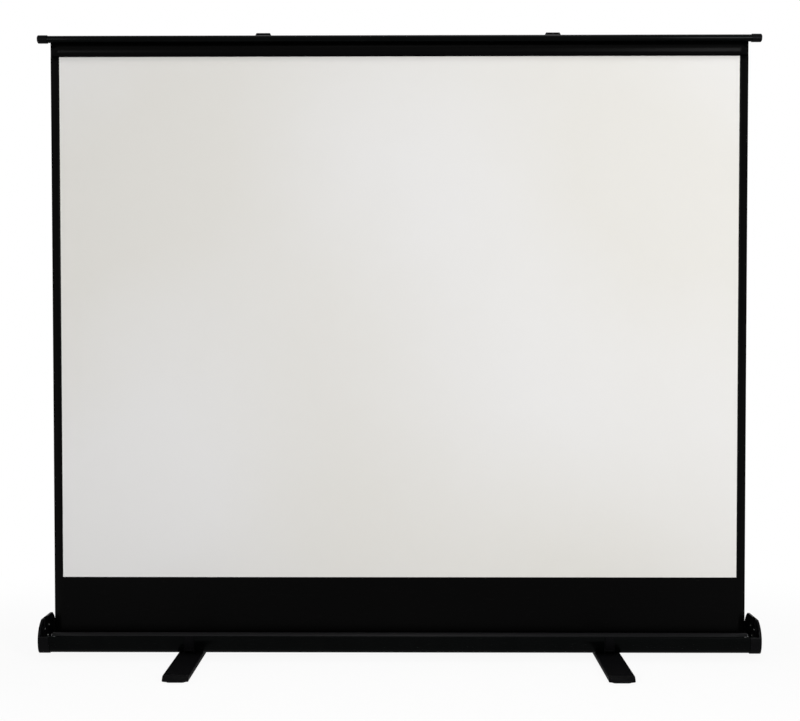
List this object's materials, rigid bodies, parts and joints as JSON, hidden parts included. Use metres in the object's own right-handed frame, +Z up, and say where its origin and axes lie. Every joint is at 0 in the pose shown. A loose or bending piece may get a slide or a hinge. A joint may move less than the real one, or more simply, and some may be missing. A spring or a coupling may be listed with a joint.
{
  "type": "portable projection screen",
  "caption": "Floor-standing pull-up projection screen: a scissor lifts the top tube and draws the fabric from a spring roller in the case, on swing-out feet.",
  "frame": {"origin": "on the floor under the middle of the case", "axes": "+X to the right seen from the front and along the case, +Y to the back, +Z up"},
  "size_m": [2.14, 0.592, 1.8599],
  "materials": {
    "black_aluminium": "satin black anodised extrusion",
    "black_plastic": "fine-grained black moulding",
    "black_steel": "black powder coat",
    "plated_steel": "zinc plated",
    "grey_aluminium": "mill finish",
    "nylon": "natural nylon",
    "black_rubber": "matte rubber",
    "screen_fabric": "matte white coating with a black mask",
    "black_fabric": "black-backed coated fabric"
  },
  "bodies": {
    "case": {"case_tray": "black_aluminium", "link_bracket_lower": "plated_steel", "link_pin_case": "plated_steel", "screen_fabric": "screen_fabric", "end_cap_left": "black_plastic", "end_cap_right": "black_plastic", "roller_bracket_left": "black_plastic", "roller_bracket_right": "black_plastic", "foot_plate_left": "plated_steel", "foot_plate_right": "plated_steel", "foot_bolt_left": "plated_steel", "foot_bolt_right": "plated_steel", "foot_washer_left": "nylon", "foot_washer_right": "nylon", "latch_base_left": "plated_steel", "latch_base_right": "plated_steel"},
    "lid": {"lid_shell": "black_aluminium", "lid_keeper_left": "black_plastic", "lid_keeper_right": "black_plastic", "carry_handle": "black_plastic"},
    "roller": {"roller_tube": "grey_aluminium", "roller_fabric": "black_fabric", "roller_plug_left": "black_plastic", "roller_plug_right": "black_plastic"},
    "lower_link": {"link_lower": "plated_steel"},
    "front_arm": {"scissor_arm_front": "black_aluminium", "scissor_centre_pin": "plated_steel", "link_pin_lower_arm": "plated_steel", "link_pin_upper_arm": "plated_steel"},
    "rear_arm": {"scissor_arm_rear": "black_aluminium"},
    "upper_link": {"link_upper": "plated_steel"},
    "top_bar": {"top_tube": "black_aluminium", "tube_plug_left": "black_plastic", "tube_plug_right": "black_plastic", "fabric_spline": "black_rubber", "link_bracket_upper": "black_plastic", "link_pin_bar": "plated_steel"},
    "swing_foot_left": {"foot_left": "black_steel", "foot_nose_front_left": "black_plastic", "foot_nose_rear_left": "black_plastic", "foot_pad_front_left": "black_rubber", "foot_pad_rear_left": "black_rubber"},
    "latch_left": {"latch_lever_left": "plated_steel"},
    "swing_foot_right": {"foot_right": "black_steel", "foot_nose_front_right": "black_plastic", "foot_nose_rear_right": "black_plastic", "foot_pad_front_right": "black_rubber", "foot_pad_rear_right": "black_rubber"},
    "latch_right": {"latch_lever_right": "plated_steel"},
    "slide_lower_left": {"slider_lower_left": "black_plastic", "arm_pin_lower_left": "plated_steel"},
    "slide_lower_right": {"slider_lower_right": "black_plastic", "arm_pin_lower_right": "plated_steel"},
    "slide_upper_left": {"slider_upper_left": "black_plastic", "arm_pin_upper_left": "plated_steel"},
    "slide_upper_right": {"slider_upper_right": "black_plastic", "arm_pin_upper_right": "plated_steel"}
  },
  "joints": [
    {"name": "lift", "type": "hinge", "parent": "case", "child": "lower_link", "pos_m": [0.027, 0, 0.05], "axis": [0, -1, 0], "range_deg": [0, 63.01], "deforming": ["screen_fabric"]},
    {"name": "front_arm_pivot", "type": "hinge", "parent": "lower_link", "child": "front_arm", "pos_m": [-0.18765, 0, 0.4975], "axis": [0, -1, 0], "range_deg": [-126.02, 0]},
    {"name": "rear_arm_pivot", "type": "hinge", "parent": "front_arm", "child": "rear_arm", "pos_m": [0.027, 0, 0.945], "axis": [0, -1, 0], "range_deg": [0, 126.02]},
    {"name": "slide_lower_left_pivot", "type": "hinge", "parent": "front_arm", "child": "slide_lower_left", "pos_m": [-0.4023, 0, 0.05], "axis": [0, -1, 0], "range_deg": [0, 63.01]},
    {"name": "slide_upper_right_pivot", "type": "hinge", "parent": "front_arm", "child": "slide_upper_right", "pos_m": [0.4563, 0, 1.84], "axis": [0, -1, 0], "range_deg": [0, 63.01]},
    {"name": "slide_lower_right_pivot", "type": "hinge", "parent": "rear_arm", "child": "slide_lower_right", "pos_m": [0.4563, 0, 0.05], "axis": [0, -1, 0], "range_deg": [-63.01, 0]},
    {"name": "slide_upper_left_pivot", "type": "hinge", "parent": "rear_arm", "child": "slide_upper_left", "pos_m": [-0.4023, 0, 1.84], "axis": [0, -1, 0], "range_deg": [-63.01, 0]},
    {"name": "upper_link_pivot", "type": "hinge", "parent": "front_arm", "child": "upper_link", "pos_m": [0.24165, 0, 1.3925], "axis": [0, -1, 0], "range_deg": [0, 126.02]},
    {"name": "top_bar_pivot", "type": "hinge", "parent": "upper_link", "child": "top_bar", "pos_m": [0.027, 0, 1.84], "axis": [0, -1, 0], "range_deg": [-63.01, 0]},
    {"name": "roller_spin", "type": "hinge", "parent": "case", "child": "roller", "pos_m": [0, -0.043, 0.057], "axis": [-1, 0, 0], "range_deg": [0, 4662.74]},
    {"name": "lid_hinge", "type": "hinge", "parent": "case", "child": "lid", "pos_m": [0, 0.0747, 0.06], "axis": [-1, 0, 0], "range_deg": [-30, 0]},
    {"name": "foot_left_swing", "type": "hinge", "parent": "case", "child": "swing_foot_left", "pos_m": [-0.62, 0.005, 0], "axis": [0, 0, 1], "range_deg": [0, 90]},
    {"name": "foot_right_swing", "type": "hinge", "parent": "case", "child": "swing_foot_right", "pos_m": [0.62, 0.005, 0], "axis": [0, 0, 1], "range_deg": [-90, 0]},
    {"name": "latch_left_hinge", "type": "hinge", "parent": "case", "child": "latch_left", "pos_m": [-0.62, -0.07667, 0.03364], "axis": [1, 0, 0], "range_deg": [0, 40]},
    {"name": "latch_right_hinge", "type": "hinge", "parent": "case", "child": "latch_right", "pos_m": [0.62, -0.07667, 0.03364], "axis": [1, 0, 0], "range_deg": [0, 40]}
  ],
  "couplings": [
    {"joint": "front_arm_pivot", "follows": "lift", "ratio": -2},
    {"joint": "rear_arm_pivot", "follows": "lift", "ratio": 2},
    {"joint": "slide_lower_left_pivot", "follows": "lift", "ratio": 1},
    {"joint": "slide_upper_right_pivot", "follows": "lift", "ratio": 1},
    {"joint": "slide_lower_right_pivot", "follows": "lift", "ratio": -1},
    {"joint": "slide_upper_left_pivot", "follows": "lift", "ratio": -1},
    {"joint": "upper_link_pivot", "follows": "lift", "ratio": 2},
    {"joint": "top_bar_pivot", "follows": "lift", "ratio": -1},
    {"joint": "roller_spin", "follows": "lift", "ratio": 74}
  ]
}
